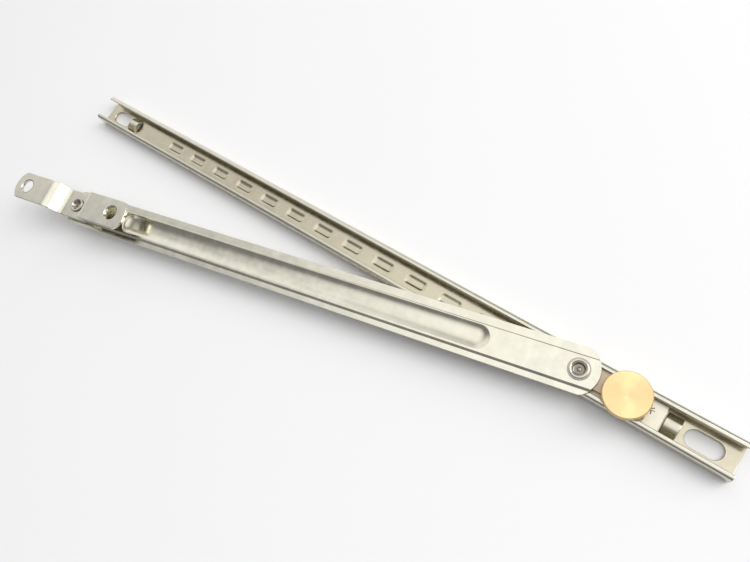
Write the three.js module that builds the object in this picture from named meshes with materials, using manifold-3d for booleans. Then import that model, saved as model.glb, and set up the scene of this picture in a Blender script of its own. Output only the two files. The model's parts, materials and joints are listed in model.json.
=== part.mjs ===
// Sliding friction stay for a casement window: a steel channel track screwed to the frame, a slider
// that runs in it, a pressed arm that swings on the slider, a bracket that swings on the arm and is
// screwed to the sash, and a thumb screw that locks the slider anywhere along the track.
// Millimetres, +Z up. The origin is on the underside of the track, halfway along it; +X runs along
// the track towards the end where the slider rests.
import * as THREE from 'three';
import { mergeVertices } from 'three/addons/utils/BufferGeometryUtils.js';
import Module from 'manifold-3d';

const wasm = await Module();
wasm.setup();

// ---------------------------------------------------------------- driving dimensions
const SHEET = 1.0;                     // sheet thickness of the track and the slider plate
const TRACK = { length: 300, width: 12.6, height: 6.1, opening: 8.7, bend: 1.2 };
const SLOT = { fromEnd: 9.75, length: 11.4, width: 5.8 };
const DIMPLE = { count: 14, first: -100.6, pitch: 15.1, length: 9.0, width: 4.1, corner: 1.2, depth: 0.55 };
const STOP = { face: 128.0, length: 4.8, halfSpan: 3.7, height: 3.5 };

const PIVOT_X = 100.2;                 // slider pivot at rest, just short of the end stop
const ARM_ANGLE = THREE.MathUtils.degToRad(12.05);
const FLAT_GAP = 0.15;                 // between stacked flat faces
const SIDE_GAP = 0.3;                  // beside and around sliding or turning pieces

const LINER = { from: -9.4, to: 23.6, width: 9.8, thickness: 0.9 };
const PLATE = { from: -10, to: 27.3, width: 10 };
const BLOCK = { from: -9, to: 22.6, width: 10, shoulder: 1.55, neckWidth: 6.0, neckTop: 6.5 };
const SCREW = { x: 15.6, shank: 2.5, head: 7.4, headBottom: 7.4, top: 10.4, tip: 2.0, bore: 1.2 };
const RING = { outer: 3.4, inner: 2.2, groove: 2.0, bottom: 2.35, thickness: 0.4, gap: 1.6 };
const PAD = { radius: 2.3, stem: 0.9, thickness: 0.75, stemTop: 3.3 };

const ARM = {
  reach: 222.4, width: 15.4, thickness: 1.2, underside: 6.8, overhang: 6.5, sagitta: 4.0,
  landRise: 0.6, landFrom: -4.7, landTo: 5.4,
};
const TROUGH = { from: 29.5, to: 195.3, halfWidth: 4.1, depth: 1.0 };
const RIVET = { hole: 2.5, shank: 2.1, hollow: 1.35 };
const PIVOT_RIVET = { rim: 3.1, recess: 2.3, recessDepth: 1.6, rimHeight: 0.45, head: 3.5 };
const END_RIVET = { rim: 3.3, recess: 2.2, recessDepth: 1.5, rimHeight: 0.55, head: 3.6 };
const WASHER = { pivotLower: 4.2, pivotUpper: 3.6, endUpper: 4.6, endLower: 4.2 };

const BRACKET = {
  thickness: 1.5, width: 12.7, rise: 5.5, tabEnd: -33.4, lugEnd: 34, sagitta: 2.8,
  hole: 3.0, tabHole: -25.5, lugHole: 27.2, plateFrom: -7.4, plateTo: 5.9,
};
const RISER = { angle: THREE.MathUtils.degToRad(82), foot: 1.25, crown: 1.45 };   // centre-line radii
const RAMP = { angle: THREE.MathUtils.degToRad(48.9), foot: 3.85, crown: 4.95 };

// heights worked out from the stack
const PLATE_BOTTOM = SHEET + FLAT_GAP + LINER.thickness + FLAT_GAP;
const BLOCK_BOTTOM = PLATE_BOTTOM + SHEET + FLAT_GAP;
const LAND_UNDERSIDE = ARM.underside + ARM.landRise;
const LAND_TOP = LAND_UNDERSIDE + ARM.thickness;
const BRACKET_BOTTOM = LAND_TOP + 0.1 + 0.35 + 0.1;      // above the end washer

// ---------------------------------------------------------------- materials
const finish = (color, roughness, metalness) =>
  new THREE.MeshStandardMaterial({ color, roughness, metalness });
const steel = finish(0xcfc9b8, 0.32, 1.0);
const satinSteel = finish(0xc4beae, 0.42, 1.0);
const blockMetal = finish(0xd8c9b4, 0.45, 0.9);
const rivetSteel = finish(0xb9b4a8, 0.3, 1.0);
const brass = finish(0xe9c97c, 0.35, 1.0);
const nylon = finish(0xe8e4da, 0.6, 0.0);

// ---------------------------------------------------------------- helpers
const ROUND_SIDES = 24;

// Turn a closed three.js geometry into a solid that can be joined and cut.
function toSolid(geometry) {
  geometry.deleteAttribute('normal');
  geometry.deleteAttribute('uv');
  const welded = mergeVertices(geometry, 1e-4);
  return new wasm.Manifold(new wasm.Mesh({
    numProp: 3,
    vertProperties: new Float32Array(welded.attributes.position.array),
    triVerts: new Uint32Array(welded.index.array),
  }));
}

// A flat shape in plan, standing from one height to another.
function slab(shape, bottom, top, curveSegments = 8) {
  const geometry = new THREE.ExtrudeGeometry(
    shape, { depth: top - bottom, bevelEnabled: false, curveSegments });
  geometry.translate(0, 0, bottom);
  return toSolid(geometry);
}

// A section drawn across the track (y, z), drawn out along x from one place to another.
function drawnAlongX(shape, from, to, curveSegments = 4) {
  const geometry = new THREE.ExtrudeGeometry(
    shape, { depth: to - from, bevelEnabled: false, curveSegments });
  const turn = new THREE.Matrix4().makeBasis(
    new THREE.Vector3(0, 1, 0), new THREE.Vector3(0, 0, 1), new THREE.Vector3(1, 0, 0));
  geometry.applyMatrix4(turn);
  geometry.translate(from, 0, 0);
  return toSolid(geometry);
}

// A turned piece: profile points are (radius, height) and run from the axis back to the axis.
function turned(points, x = 0, y = 0, sides = ROUND_SIDES) {
  const profile = points.map(([radius, height]) => new THREE.Vector2(radius, height));
  const geometry = new THREE.LatheGeometry(profile, sides);
  geometry.rotateX(Math.PI / 2);
  geometry.translate(x, y, 0);
  return toSolid(geometry);
}

function disc(radius, bottom, top, x = 0, y = 0, sides = ROUND_SIDES) {
  return turned([[0, bottom], [radius, bottom], [radius, top], [0, top]], x, y, sides);
}

function box(x0, x1, y0, y1, z0, z1) {
  const geometry = new THREE.BoxGeometry(x1 - x0, y1 - y0, z1 - z0);
  geometry.translate((x0 + x1) / 2, (y0 + y1) / 2, (z0 + z1) / 2);
  return toSolid(geometry);
}

// A slot with full-round ends, or a rounded rectangle where the corner is smaller.
function roundedBar(length, width, corner, x = 0) {
  const a = length / 2 - corner;
  const b = width / 2 - corner;
  const shape = new THREE.Shape();
  shape.absarc(x + a, -b, corner, -Math.PI / 2, 0);
  shape.absarc(x + a, b, corner, 0, Math.PI / 2);
  shape.absarc(x - a, b, corner, Math.PI / 2, Math.PI);
  shape.absarc(x - a, -b, corner, Math.PI, 1.5 * Math.PI);
  shape.closePath();
  return shape;
}

// A strap in plan from x = start to x = end, each end a shallow arc between two corners.
function strap(start, end, width, sagitta) {
  const half = width / 2;
  const radius = (half * half + sagitta * sagitta) / (2 * sagitta);
  const angle = Math.asin(half / radius);
  const shape = new THREE.Shape();
  shape.moveTo(start + sagitta, -half);
  shape.lineTo(end - sagitta, -half);
  shape.absarc(end - radius, 0, radius, -angle, angle);
  shape.lineTo(start + sagitta, half);
  shape.absarc(start + radius, 0, radius, Math.PI - angle, Math.PI + angle);
  return shape;
}

// Cut one or more solids out of another.
const without = (solid, ...cutters) => cutters.reduce((left, cutter) => left.subtract(cutter), solid);

// A named mesh made from a finished solid.
function piece(name, solid, material) {
  const { vertProperties, triVerts } = solid.getMesh();
  const geometry = new THREE.BufferGeometry();
  geometry.setAttribute('position', new THREE.BufferAttribute(vertProperties, 3));
  geometry.setIndex(new THREE.BufferAttribute(triVerts, 1));
  geometry.computeVertexNormals();
  const mesh = new THREE.Mesh(geometry, material);
  mesh.name = name;
  return mesh;
}

// ---------------------------------------------------------------- track
// Section of the channel: floor, two walls and two in-turned lips, with rounded outer bends.
function channelSection() {
  const { width, height, opening, bend } = TRACK;
  const out = width / 2 - bend;
  const inner = bend - SHEET;
  const shape = new THREE.Shape();
  shape.moveTo(-out, 0);
  shape.absarc(out, bend, bend, -Math.PI / 2, 0);
  shape.absarc(out, height - bend, bend, 0, Math.PI / 2);
  shape.lineTo(opening / 2, height);
  shape.lineTo(opening / 2, height - SHEET);
  shape.absarc(out, height - bend, inner, Math.PI / 2, 0, true);
  shape.absarc(out, bend, inner, 0, -Math.PI / 2, true);
  shape.absarc(-out, bend, inner, -Math.PI / 2, -Math.PI, true);
  shape.absarc(-out, height - bend, inner, Math.PI, Math.PI / 2, true);
  shape.lineTo(-opening / 2, height - SHEET);
  shape.lineTo(-opening / 2, height);
  shape.absarc(-out, height - bend, bend, Math.PI / 2, Math.PI);
  shape.absarc(-out, bend, bend, Math.PI, 1.5 * Math.PI);
  return shape;
}

// Half an ellipse standing on z = 0, the section of a bridge lanced up out of the floor.
function archSection(halfSpan, height) {
  const shape = new THREE.Shape();
  shape.absellipse(0, 0, halfSpan, height, 0, Math.PI);
  shape.closePath();
  return shape;
}

function track() {
  const half = TRACK.length / 2;
  let body = drawnAlongX(channelSection(), -half, half, 3);
  for (const side of [-1, 1]) {
    const near = side * STOP.face;
    const far = side * (STOP.face + STOP.length);
    const [from, to] = [Math.min(near, far), Math.max(near, far)];
    const arch = drawnAlongX(archSection(STOP.halfSpan, STOP.height), from, to, 10);
    const under = drawnAlongX(archSection(STOP.halfSpan - SHEET, STOP.height - SHEET), from, to, 10);
    const windowCut = box(from, to, 1 - STOP.halfSpan, STOP.halfSpan - 1, -1, 0.01);
    body = without(body.add(arch), under, windowCut);
    const slot = roundedBar(SLOT.length, SLOT.width, SLOT.width / 2, side * (half - SLOT.fromEnd));
    body = body.subtract(slab(slot, -1, SHEET + 0.5, 5));
  }
  for (let i = 0; i < DIMPLE.count; i += 1) {
    const middle = DIMPLE.first + i * DIMPLE.pitch;
    const pocket = roundedBar(DIMPLE.length, DIMPLE.width, DIMPLE.corner, middle);
    body = body.subtract(slab(pocket, SHEET - DIMPLE.depth, SHEET + 0.5, 2));
  }
  return piece('track_channel', body, steel);
}

// ---------------------------------------------------------------- slider, in pivot coordinates
const plateHoleAtScrew = RING.outer + 0.45;

function sliderLiner() {
  const bottom = SHEET + FLAT_GAP;
  const bar = box(LINER.from, LINER.to, -LINER.width / 2, LINER.width / 2, bottom, bottom + LINER.thickness);
  const rivetRoom = disc(PIVOT_RIVET.head + SIDE_GAP, 0, 3);
  const padRoom = disc(PAD.radius + 0.5, 0, 3, SCREW.x);
  return piece('slider_liner', without(bar, rivetRoom, padRoom), nylon);
}

function sliderPlate() {
  const top = PLATE_BOTTOM + SHEET;
  const bar = box(PLATE.from, PLATE.to, -PLATE.width / 2, PLATE.width / 2, PLATE_BOTTOM, top);
  const rivetHole = disc(RIVET.hole, 0, 5);
  const ringRoom = disc(plateHoleAtScrew, 0, 5, SCREW.x);
  return piece('slider_plate', without(bar, rivetHole, ringRoom), satinSteel);
}

function sliderBlock() {
  const shoulderTop = BLOCK_BOTTOM + BLOCK.shoulder;
  const wide = BLOCK.width / 2;
  const narrow = BLOCK.neckWidth / 2;
  const shoulders = box(BLOCK.from, BLOCK.to, -wide, wide, BLOCK_BOTTOM, shoulderTop);
  const neck = box(BLOCK.from, BLOCK.to, -narrow, narrow, BLOCK_BOTTOM, BLOCK.neckTop);
  const rivetHole = disc(RIVET.hole, 0, 9);
  const thread = disc(SCREW.shank + SIDE_GAP, 0, 9, SCREW.x);
  const ringRoom = disc(RING.outer + SIDE_GAP, 0, BLOCK_BOTTOM + 0.75, SCREW.x);
  return piece('slider_block', without(shoulders.add(neck), rivetHole, thread, ringRoom), blockMetal);
}

// A semi-tubular rivet: flat head below, shank, rolled rim above with a recess in its end.
function semiTubularRivet(name, sizes, headBottom, headTop, rimBottom) {
  const rimTop = rimBottom + sizes.rimHeight;
  const solid = turned([
    [0, headBottom], [sizes.head, headBottom], [sizes.head, headTop], [RIVET.shank, headTop],
    [RIVET.shank, rimBottom], [sizes.rim, rimBottom], [sizes.rim, rimTop - 0.15],
    [sizes.rim - 0.2, rimTop], [sizes.recess, rimTop],
    [RIVET.hollow, rimTop - sizes.recessDepth], [0, rimTop - sizes.recessDepth],
  ]);
  return piece(name, solid, rivetSteel);
}

function washer(name, outer, bottom, thickness, material) {
  const solid = disc(outer, bottom, bottom + thickness).subtract(disc(RIVET.hole, 0, 20));
  return piece(name, solid, material);
}

// Knurled head, threaded shank with a groove for its ring, and a bore in its tip for the pad's stem.
function thumbScrew() {
  const ringTop = RING.bottom + RING.thickness;
  const edge = 0.3;
  const collar = { radius: 4.2, bottom: SCREW.headBottom - 0.6 };
  const solid = turned([
    [0, SCREW.tip], [SCREW.shank, SCREW.tip], [SCREW.shank, RING.bottom - 0.1],
    [RING.groove, RING.bottom - 0.1], [RING.groove, ringTop + 0.1], [SCREW.shank, ringTop + 0.1],
    [SCREW.shank, collar.bottom], [collar.radius, collar.bottom], [collar.radius, SCREW.headBottom],
    [SCREW.head - edge, SCREW.headBottom], [SCREW.head, SCREW.headBottom + edge],
    [SCREW.head, SCREW.top - edge], [SCREW.head - edge, SCREW.top], [0, SCREW.top],
  ], 0, 0, 36);
  return piece('thumb_screw', solid.subtract(disc(SCREW.bore, 0, PAD.stemTop + FLAT_GAP)), brass);
}

// Open snap ring in the screw's groove: it stops the screw from being wound right out.
function retainingRing() {
  const top = RING.bottom + RING.thickness;
  const ring = disc(RING.outer, RING.bottom, top).subtract(disc(RING.inner, 0, 5));
  const opening = box(0, RING.outer + 1, -RING.gap / 2, RING.gap / 2, 0, 5);
  return piece('retaining_ring', ring.subtract(opening), satinSteel);
}

function clampPad() {
  const bottom = SHEET + FLAT_GAP;
  const solid = turned([
    [0, bottom], [PAD.radius, bottom], [PAD.radius, bottom + PAD.thickness],
    [PAD.stem, bottom + PAD.thickness], [PAD.stem, PAD.stemTop], [0, PAD.stemTop],
  ], 0, 0, 16);
  return piece('clamp_pad', solid, nylon);
}

// ---------------------------------------------------------------- arm, in its own coordinates
// The arm runs along +x from the pivot (0, 0) to the end rivet (reach, 0).

// A stadium-shaped plug whose lower edge is rounded in by the trough's depth.
function troughPlug(grow, bottom, top) {
  const floorHalf = TROUGH.halfWidth - TROUGH.depth + grow;
  const length = TROUGH.to - TROUGH.from - 2 * TROUGH.depth + 2 * grow;
  const middle = (TROUGH.from + TROUGH.to) / 2;
  const geometry = new THREE.ExtrudeGeometry(roundedBar(length, 2 * floorHalf, floorHalf, middle), {
    depth: top - bottom - 2 * TROUGH.depth, bevelEnabled: true, bevelThickness: TROUGH.depth,
    bevelSize: TROUGH.depth, bevelSegments: 3, curveSegments: 6,
  });
  geometry.translate(0, 0, bottom + TROUGH.depth);
  return toSolid(geometry);
}

function arm() {
  const outline = strap(-ARM.overhang, ARM.reach + ARM.overhang, ARM.width, ARM.sagitta);
  const bandTop = ARM.underside + ARM.thickness;
  const { landFrom, landTo } = ARM;
  const reach = ARM.reach + 2 * ARM.overhang;
  const bands = slab(outline, ARM.underside, bandTop, 6);
  const underLand = box(-reach, 2 * reach, landFrom, landTo, 0, LAND_UNDERSIDE);
  const landStrip = box(-reach, 2 * reach, landFrom, landTo, LAND_UNDERSIDE, LAND_TOP);
  const land = slab(outline, LAND_UNDERSIDE, LAND_TOP, 6).intersect(landStrip);
  const troughBottom = LAND_UNDERSIDE - TROUGH.depth;
  const pressedDown = troughPlug(0.7, troughBottom, LAND_TOP + TROUGH.depth)
    .intersect(box(0, reach, landFrom, landTo, 0, LAND_TOP));
  const hollow = troughPlug(0, LAND_TOP - TROUGH.depth, LAND_TOP + 2 * TROUGH.depth);
  const sheet = without(bands, underLand).add(land).add(pressedDown).subtract(hollow);
  const holes = [0, ARM.reach].map((x) => disc(RIVET.hole, 0, 20, x));
  return piece('arm', without(sheet, ...holes), steel);
}

// ---------------------------------------------------------------- bracket, in its own coordinates
// The bracket's rivet is at (0, 0); +x points away from the slider, along the arm.

// How far along the strip a bend up of the whole rise reaches: foot arc, straight slope, crown arc.
function bendRun({ angle, foot, crown }) {
  const straight = (BRACKET.rise - (foot + crown) * (1 - Math.cos(angle))) / Math.tan(angle);
  return (foot + crown) * Math.sin(angle) + straight;
}

// Side view of the pressed strip: its centre line with a thickness to both sides.
function bracketProfile() {
  const low = BRACKET_BOTTOM + BRACKET.thickness / 2;
  const high = low + BRACKET.rise;
  const tabTo = BRACKET.plateFrom - bendRun(RISER);
  const lugFrom = BRACKET.plateTo + bendRun(RAMP);
  const right = Math.PI / 2;
  const line = new THREE.Path();
  line.moveTo(BRACKET.tabEnd, high);
  line.lineTo(tabTo, high);
  line.absarc(tabTo, high - RISER.crown, RISER.crown, right, right - RISER.angle, true);
  line.absarc(BRACKET.plateFrom, low + RISER.foot, RISER.foot, -right - RISER.angle, -right);
  line.absarc(BRACKET.plateTo, low + RAMP.foot, RAMP.foot, -right, -right + RAMP.angle);
  line.absarc(lugFrom, high - RAMP.crown, RAMP.crown, right + RAMP.angle, right, true);
  line.lineTo(BRACKET.lugEnd, high);
  const centre = line.getPoints(3);
  const offset = (side) => centre.map((point, i) => {
    const before = centre[Math.max(i - 1, 0)];
    const after = centre[Math.min(i + 1, centre.length - 1)];
    const along = after.clone().sub(before).normalize();
    return new THREE.Vector2(-along.y, along.x).multiplyScalar(side * BRACKET.thickness / 2).add(point);
  });
  return new THREE.Shape([...offset(-1), ...offset(1).reverse()]);
}

function endBracket() {
  const half = BRACKET.width / 2;
  const geometry = new THREE.ExtrudeGeometry(
    bracketProfile(), { depth: BRACKET.width, bevelEnabled: false });
  geometry.rotateX(Math.PI / 2);
  geometry.translate(0, half, 0);
  const outline = strap(BRACKET.tabEnd, BRACKET.lugEnd, BRACKET.width + 0.2, BRACKET.sagitta);
  const strip = toSolid(geometry).intersect(slab(outline, 0, 30, 6));
  const screwHoles = [BRACKET.tabHole, BRACKET.lugHole].map((x) => disc(BRACKET.hole, 0, 30, x));
  return piece('end_bracket', without(strip, disc(RIVET.hole, 0, 30), ...screwHoles), steel);
}

// ---------------------------------------------------------------- assembly
function at(x, y, z, turn, ...children) {
  const group = new THREE.Group();
  group.position.set(x, y, z);
  group.rotation.z = turn;
  group.add(...children);
  return group;
}

const pivotHead = SHEET + FLAT_GAP;
const pivotRivet = semiTubularRivet(
  'pivot_rivet', PIVOT_RIVET, pivotHead, pivotHead + 0.85, LAND_TOP + 0.5);
const endRivet = semiTubularRivet(
  'end_rivet', END_RIVET, ARM.underside - 0.4, ARM.underside + 0.05,
  BRACKET_BOTTOM + BRACKET.thickness + 0.1);

const screwGroup = at(SCREW.x, 0, 0, 0, thumbScrew(), retainingRing(), clampPad());
const bracketGroup = at(ARM.reach, 0, 0, 0, endBracket());
const armGroup = at(0, 0, 0, Math.PI + ARM_ANGLE,
  arm(),
  washer('pivot_washer_upper', WASHER.pivotUpper, LAND_TOP + 0.1, 0.3, satinSteel),
  at(ARM.reach, 0, 0, 0,
    washer('end_washer_upper', WASHER.endUpper, LAND_TOP + 0.1, 0.35, nylon),
    washer('end_washer_lower', WASHER.endLower, ARM.underside + 0.15, 0.35, satinSteel),
    endRivet),
  bracketGroup);
const sliderGroup = at(PIVOT_X, 0, 0, 0,
  sliderLiner(), sliderPlate(), sliderBlock(), pivotRivet,
  washer('pivot_washer_lower', WASHER.pivotLower, BLOCK.neckTop + 0.1, 0.7, brass),
  screwGroup, armGroup);

const stay = new THREE.Group();
stay.add(track(), sliderGroup);

export default stay;
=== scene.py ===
"""Sliding friction stay for a casement window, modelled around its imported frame.

A steel channel track with pressed dimples, a slider with a brass thumb screw, a pressed arm that
swings on the slider, and a sash bracket that swings on the arm.
"""

import json
import math
from contextlib import contextmanager

import bmesh
import bpy
from bpy.props import FloatProperty, FloatVectorProperty, IntProperty, PointerProperty
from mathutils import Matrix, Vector


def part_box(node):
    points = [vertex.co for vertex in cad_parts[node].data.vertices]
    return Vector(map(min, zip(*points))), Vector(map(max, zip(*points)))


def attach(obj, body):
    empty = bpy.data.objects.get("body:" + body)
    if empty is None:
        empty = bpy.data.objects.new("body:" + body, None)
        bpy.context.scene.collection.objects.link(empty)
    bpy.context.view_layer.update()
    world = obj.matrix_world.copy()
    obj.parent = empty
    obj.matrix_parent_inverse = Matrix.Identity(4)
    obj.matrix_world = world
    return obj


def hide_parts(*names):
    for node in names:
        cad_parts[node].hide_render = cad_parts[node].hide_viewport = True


bl_info = {
    "name": "Friction stay",
    "version": (1, 0, 0),
    "blender": (4, 5, 0),
    "location": "3D Viewport > Sidebar > Friction stay",
    "description": "Builds a sliding friction stay for a casement window, piece by piece",
    "category": "Add Mesh",
}

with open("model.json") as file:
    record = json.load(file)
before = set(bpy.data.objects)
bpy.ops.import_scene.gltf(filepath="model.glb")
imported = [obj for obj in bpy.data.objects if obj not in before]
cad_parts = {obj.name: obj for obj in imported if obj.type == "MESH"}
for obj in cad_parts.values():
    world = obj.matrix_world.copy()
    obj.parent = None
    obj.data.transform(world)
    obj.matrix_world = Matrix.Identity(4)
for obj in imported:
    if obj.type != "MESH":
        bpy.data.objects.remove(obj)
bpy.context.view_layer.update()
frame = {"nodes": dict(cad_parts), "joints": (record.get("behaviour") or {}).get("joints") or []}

MM = 0.001
WELD = 0.001 * MM
JOINTS = {joint["name"]: joint for joint in frame["joints"]}
PIVOT = Vector(JOINTS["arm_swing"]["pos_m"][:2] + [0])
END_RIVET = Vector(JOINTS["bracket_turn"]["pos_m"][:2] + [0])
SCREW_AXIS = Vector(JOINTS["screw_turn"]["pos_m"][:2] + [0])
REACH = (END_RIVET - PIVOT).length
RIVET_HOLE = 2.5 * MM       # radius of every rivet hole
RIVET_SHANK = 2.1 * MM
TROUGH_RIM = 0.35 * MM      # how far the trough's soft rim reaches past its wall
STOP_THINNING = 0.9         # thickness that lancing leaves of the sheet
THREAD_PITCH = 0.8 * MM
CAMERA_PLACE = (0.11993, -0.04117, 0.20723)
CAMERA_TURN = (21.542, 16.380, 35.337)      # degrees
CAMERA_LENS = 29.609                        # on a sensor 36 mm wide
ARM_TURN = math.atan2(END_RIVET.y - PIVOT.y, END_RIVET.x - PIVOT.x)
TRACK_LOW, TRACK_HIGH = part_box("track_channel")
ARM_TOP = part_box("arm")[1].z
BRACKET_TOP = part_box("end_bracket")[1].z


# ---------------------------------------------------------------- sizes and colours a user would change
def length(name, description, default, **limits):
    return FloatProperty(name=name, description=description, default=default, unit="LENGTH",
                         precision=5, **limits)


def colour(name, description, default):
    return FloatVectorProperty(name=name, description=description, default=default, subtype="COLOR",
                               size=3, min=0, max=1)


class TrackSizes(bpy.types.PropertyGroup):
    sheet: length("Sheet", "Thickness of the channel's sheet", 1.0 * MM)
    bend: length("Bend radius", "Outer radius of the channel's four bends", 1.2 * MM)
    opening: length("Opening", "Width of the slot between the two lips", 8.7 * MM)
    dimple_first: length("First dimple", "Place of the first dimple's middle along the track", -100.6 * MM)
    dimple_pitch: length("Dimple pitch", "Distance from one dimple to the next", 15.1 * MM)
    dimple_count: IntProperty(name="Dimples", description="How many dimples the floor has", default=14)
    dimple_length: length("Dimple length", "Length of a dimple over its rim", 9.4 * MM)
    dimple_width: length("Dimple width", "Width of a dimple over its rim", 4.5 * MM)
    dimple_depth: length("Dimple depth", "How deep a dimple is pressed", 0.42 * MM)
    slot_from_end: length("Slot place", "Middle of a mounting slot from the track's end", 9.75 * MM)
    slot_length: length("Slot length", "Length of a mounting slot", 11.4 * MM)
    slot_width: length("Slot width", "Width of a mounting slot", 5.8 * MM)
    stop_face: length("Stop place", "Near face of a lanced stop from the track's middle", 128.0 * MM)
    stop_length: length("Stop length", "Length of a lanced stop along the track", 4.8 * MM)
    stop_height: length("Stop height", "Top of a lanced stop above the track's underside", 3.5 * MM)
    stop_half_span: length("Stop half span", "Half of a lanced stop's width", 3.7 * MM)


class SliderSizes(bpy.types.PropertyGroup):
    neck_width: length("Neck width", "Width of the block where it stands between the lips", 6.0 * MM)
    shoulder: length("Shoulder height", "Height of the block's shoulders under the lips", 1.55 * MM)
    edge: length("Edge", "Width of the small bevel on every edge", 0.15 * MM)
    scar_depth: length("Scar depth", "Depth of the tool marks beside the screw", 0.35 * MM)


class ScrewSizes(bpy.types.PropertyGroup):
    shank: length("Shank radius", "Radius of the threaded shank", 2.5 * MM)
    collar: length("Collar radius", "Radius of the step under the head", 4.2 * MM)
    chamfer: length("Chamfer", "Bevel on the head's two rims", 0.35 * MM)
    teeth: IntProperty(name="Knurl teeth", description="Teeth round the head's rim", default=84)
    tooth_depth: length("Tooth depth", "Depth of the knurl", 0.16 * MM)


class ArmSizes(bpy.types.PropertyGroup):
    thickness: length("Thickness", "Sheet thickness of the arm", 1.2 * MM)
    sagitta: length("End bow", "How far each end bows out past its corners", 4.0 * MM)
    overhang: length("Overhang", "How far the arm runs past each rivet", 6.5 * MM)
    width: length("Width", "Width of the arm", 15.4 * MM)
    land_rise: length("Land rise", "How far the raised land stands over the side bands", 0.6 * MM)
    land_from: length("Land edge", "Foot of the raised land on its steep side", -4.95 * MM)
    land_to: length("Other land edge", "Foot of the raised land on its shallow side", 5.85 * MM)
    trough_from: length("Trough start", "Trough's end near the slider, from the pivot", 29.5 * MM)
    trough_to: length("Trough end", "Trough's end near the bracket, from the pivot", 195.3 * MM)
    trough_half: length("Trough half width", "Half of the trough's width", 4.1 * MM)
    trough_depth: length("Trough depth", "Depth of the pressed trough", 1.0 * MM)


class BracketSizes(bpy.types.PropertyGroup):
    thickness: length("Thickness", "Sheet thickness of the bracket", 1.5 * MM)
    width: length("Width", "Width of the bracket", 12.7 * MM)
    rise: length("Rise", "Height of the lugs over the riveted plate", 5.5 * MM)
    sagitta: length("End bow", "How far each end bows out past its corners", 2.8 * MM)
    tab_end: length("Tab end", "Tip of the inner tab from the rivet", -33.4 * MM)
    lug_end: length("Lug end", "Tip of the outer lug from the rivet", 34.0 * MM)
    plate_from: length("Plate start", "Foot of the steep riser from the rivet", -7.4 * MM)
    plate_to: length("Plate end", "Foot of the long ramp from the rivet", 5.9 * MM)
    hole: length("Screw hole radius", "Radius of the two screw holes", 3.0 * MM)
    tab_hole: length("Tab hole", "Inner screw hole from the rivet", -25.5 * MM)
    lug_hole: length("Lug hole", "Outer screw hole from the rivet", 27.2 * MM)


class Finishes(bpy.types.PropertyGroup):
    steel: colour("Satin steel", "Arm and bracket", (0.69, 0.667, 0.572))
    track: colour("Track steel", "Channel track", (0.64, 0.617, 0.525))
    slider: colour("Slider steel", "Slider plate, end washer and ring", (0.68, 0.642, 0.54))
    block: colour("Block metal", "Slider block", (0.50, 0.405, 0.30))
    rivet: colour("Rivet steel", "Rivets, and darker on the washer round the pivot", (0.60, 0.575, 0.52))
    brass: colour("Turned brass", "Thumb screw and the washer under the arm", (0.84, 0.635, 0.335))
    nylon: colour("Nylon", "Liner, clamp pad and bracket washer", (0.78, 0.76, 0.70))
    floor: colour("Floor", "Floor under the stay", (0.86, 0.86, 0.87))


# ---------------------------------------------------------------- modelling helpers
def only(piece):
    """Make one piece the only one selected, and active."""
    if bpy.context.mode != "OBJECT":
        bpy.ops.object.mode_set(mode="OBJECT")
    bpy.ops.object.select_all(action="DESELECT")
    piece.select_set(True)
    bpy.context.view_layer.objects.active = piece


def settle():
    """Put the selected piece's place, turn and size into its mesh."""
    bpy.ops.object.transform_apply(location=True, rotation=True, scale=True)


def pick_all():
    bpy.ops.mesh.select_all(action="SELECT")


@contextmanager
def editing(piece):
    only(piece)
    bpy.ops.object.mode_set(mode="EDIT")
    bpy.ops.mesh.select_mode(type="VERT")
    yield
    bpy.ops.object.mode_set(mode="OBJECT")


def pick(piece, kind, test):
    """In edit mode, select the vertices, edges or faces that pass the test."""
    bpy.ops.mesh.select_mode(type=kind)
    bpy.ops.mesh.select_all(action="DESELECT")
    mesh = bmesh.from_edit_mesh(piece.data)
    parts = {"VERT": mesh.verts, "EDGE": mesh.edges, "FACE": mesh.faces}[kind]
    for part in parts:
        part.select_set(bool(test(part)))
    mesh.select_mode = {kind}
    mesh.select_flush_mode()
    bmesh.update_edit_mesh(piece.data)


def near(value, target, reach=0.01 * MM):
    return abs(value - target) < reach


def add_primitive(add, name, place, size):
    """Add a plane or cube one metre across, then bring it to its size."""
    bpy.ops.object.select_all(action="DESELECT")
    add(size=1, location=place)
    piece = bpy.context.object
    piece.name = piece.data.name = name
    piece.scale = size
    settle()
    return piece


def add_plane(name, x0, x1, y0, y1, z):
    return add_primitive(bpy.ops.mesh.primitive_plane_add, name, ((x0 + x1) / 2, (y0 + y1) / 2, z),
                         (x1 - x0, y1 - y0, 1))


def add_box(name, x0, x1, y0, y1, z0, z1):
    centre = ((x0 + x1) / 2, (y0 + y1) / 2, (z0 + z1) / 2)
    return add_primitive(bpy.ops.mesh.primitive_cube_add, name, centre, (x1 - x0, y1 - y0, z1 - z0))


def extrude(step):
    bpy.ops.mesh.extrude_region_move(TRANSFORM_OT_translate={"value": step})


def extrude_through(points, along):
    """Extrude the selected edges from each point of a path to the next; along maps a point to a step."""
    for start, end in zip(points, points[1:]):
        extrude(along(end[0] - start[0], end[1] - start[1]))


def arc(across, up, radius, start, end, steps):
    """Points of an arc, from the start angle to the end angle in degrees."""
    angles = [math.radians(start + (end - start) * i / steps) for i in range(steps + 1)]
    return [(across + radius * math.cos(a), up + radius * math.sin(a)) for a in angles]


def weld(piece):
    """In edit mode, merge what lies together and turn every face outwards."""
    pick_all()
    bpy.ops.mesh.remove_doubles(threshold=WELD)
    bpy.ops.mesh.normals_make_consistent(inside=False)


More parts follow.
